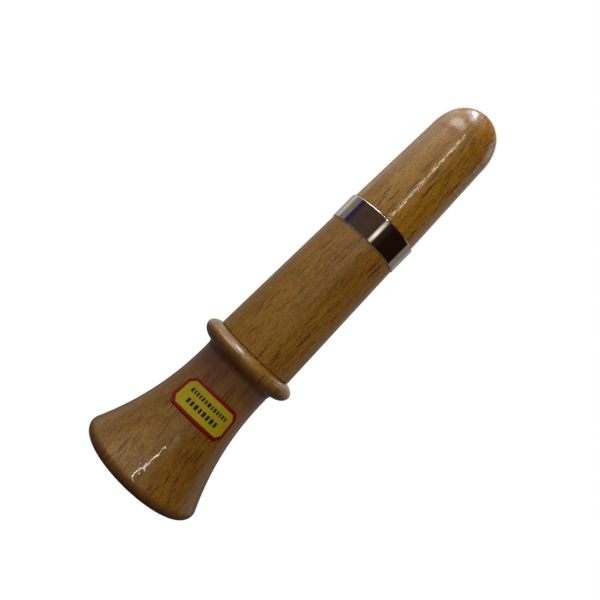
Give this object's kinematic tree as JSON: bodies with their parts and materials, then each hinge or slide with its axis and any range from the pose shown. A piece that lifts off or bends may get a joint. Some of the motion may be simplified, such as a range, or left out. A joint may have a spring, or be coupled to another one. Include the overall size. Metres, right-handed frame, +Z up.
{
  "type": "wooden game call",
  "caption": "Turned wooden reed call with a flared bell, bead, tapered barrel, metal ferrule and a domed pull-off mouthpiece that holds the reed insert",
  "frame": {"origin": "centre of the bell's rim face, which the call stands on", "axes": "+Z up the call's axis from bell to mouthpiece tip; -Y towards the label; +Y the side of the insert that the reed lies on"},
  "size_m": [0.0386, 0.0386, 0.1391],
  "materials": {
    "beech": "gloss",
    "nickel": "polished",
    "sticker": "satin",
    "cork": "matte",
    "insert_plastic": "satin",
    "seal_rubber": "satin",
    "reed_film": "satin"
  },
  "bodies": {
    "call_body": {"bell": "beech", "barrel": "beech", "ferrule": "nickel", "label": "sticker"},
    "mouthpiece": {"mouthpiece": "beech", "tenon_cork": "cork"},
    "reed_insert": {"tone_board": "insert_plastic", "lower_o_ring": "seal_rubber", "upper_o_ring": "seal_rubber"},
    "wedge": {"reed_wedge": "cork"},
    "reed": {"reed": "reed_film"}
  },
  "joints": [
    {"name": "mouthpiece_pull", "type": "slide", "parent": "call_body", "child": "mouthpiece", "axis": [0, 0, 1], "range_m": [0, 0.05]},
    {"name": "insert_pull", "type": "slide", "parent": "mouthpiece", "child": "reed_insert", "axis": [0, 0, -1], "range_m": [0, 0.022]},
    {"name": "wedge_pull", "type": "slide", "parent": "reed_insert", "child": "wedge", "axis": [0, 0, 1], "range_m": [0, 0.01]},
    {"name": "reed_beat", "type": "hinge", "parent": "reed_insert", "child": "reed", "pos_m": [0, 0.0004, 0.103], "axis": [1, 0, 0], "range_deg": [-1, 2.2], "stiffness_Nm_per_rad": 0.004, "deforming": ["reed"]}
  ]
}
